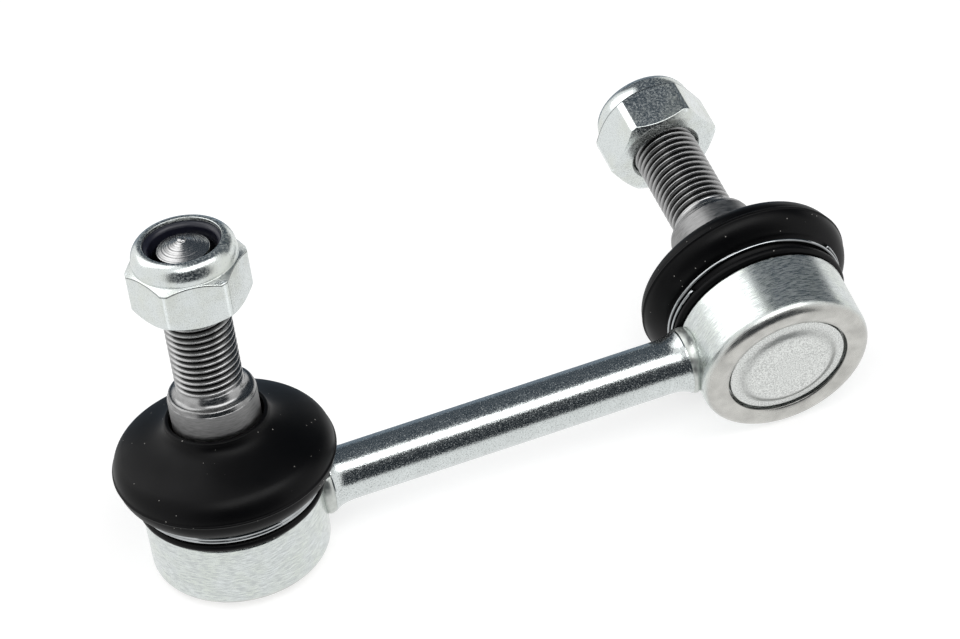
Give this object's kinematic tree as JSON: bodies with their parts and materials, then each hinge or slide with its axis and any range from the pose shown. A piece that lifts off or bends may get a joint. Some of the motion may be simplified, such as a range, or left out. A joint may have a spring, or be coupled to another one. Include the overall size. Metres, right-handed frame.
{
  "type": "stabilizer link",
  "caption": "Steel rod with a ball joint welded on each end, one turned out of line with the other; studs, rubber boots and lock nuts tie a stabilizer bar to a suspension.",
  "frame": {"origin": "centre of the closing face of joint A, the flat middle of its closing plate", "axes": "+Z along the housing axis of joint A, towards its stud; +X along the rod towards joint B"},
  "size_m": [0.1409, 0.0767, 0.0751],
  "materials": {
    "zinc": "bright zinc plating",
    "plate": "frosted zinc plating",
    "weld": "plated weld",
    "stud_steel": "bare turned and rolled steel",
    "wire": "drawn spring wire",
    "rubber": "satin moulded rubber",
    "nylon": "smooth nylon",
    "acetal": "moulded acetal"
  },
  "bodies": {
    "link": {"rod": "zinc", "weld_ring_a": "weld", "weld_ring_b": "weld", "housing_a": "zinc", "housing_b": "zinc", "cover_plate_a": "plate", "cover_plate_b": "plate", "ball_seat_a": "acetal", "ball_seat_b": "acetal", "boot_ring_a": "wire", "boot_ring_b": "wire"},
    "boot_a_body": {"boot_a": "rubber"},
    "stud_a_body": {"ball_stud_a": "stud_steel"},
    "insert_a_body": {"nut_insert_a": "nylon"},
    "nut_a_body": {"lock_nut_a": "zinc"},
    "boot_b_body": {"boot_b": "rubber"},
    "stud_b_body": {"ball_stud_b": "stud_steel"},
    "insert_b_body": {"nut_insert_b": "nylon"},
    "nut_b_body": {"lock_nut_b": "zinc"}
  },
  "joints": [
    {"name": "swivel_a", "type": "hinge", "parent": "link", "child": "boot_a_body", "pos_m": [0, 0, 0.0105], "axis": [0, 0, 1], "continuous": true},
    {"name": "tilt_a", "type": "hinge", "parent": "boot_a_body", "child": "stud_a_body", "pos_m": [0, 0, 0.0105], "axis": [-0.9613, 0.2756, 0], "range_deg": [-28.7, 21.3], "deforming": ["boot_a"]},
    {"name": "nut_travel_a", "type": "slide", "parent": "stud_a_body", "child": "insert_a_body", "axis": [0.0178, 0.062, 0.9979], "range_m": [-0.01562, 0.0125]},
    {"name": "nut_screw_a", "type": "hinge", "parent": "insert_a_body", "child": "nut_a_body", "pos_m": [0, 0, 0.0105], "axis": [0.0178, 0.062, 0.9979], "range_deg": [-4505, 3605]},
    {"name": "swivel_b", "type": "hinge", "parent": "link", "child": "boot_b_body", "pos_m": [0.102, 0.00136, 0.00944], "axis": [0, 0.9703, 0.2419], "continuous": true},
    {"name": "tilt_b", "type": "hinge", "parent": "boot_b_body", "child": "stud_b_body", "pos_m": [0.102, 0.00136, 0.00944], "axis": [0.682, -0.1769, 0.7096], "range_deg": [-28.1, 21.9], "deforming": ["boot_b"]},
    {"name": "nut_travel_b", "type": "slide", "parent": "stud_b_body", "child": "insert_b_body", "axis": [-0.0396, 0.96, 0.2774], "range_m": [-0.01562, 0.0125]},
    {"name": "nut_screw_b", "type": "hinge", "parent": "insert_b_body", "child": "nut_b_body", "pos_m": [0.102, 0.00136, 0.00944], "axis": [-0.0396, 0.96, 0.2774], "range_deg": [-4505, 3605]}
  ],
  "couplings": [
    {"joint": "nut_screw_a", "follows": "nut_travel_a", "rad_per_m": 5026.5},
    {"joint": "nut_screw_b", "follows": "nut_travel_b", "rad_per_m": 5026.5}
  ]
}
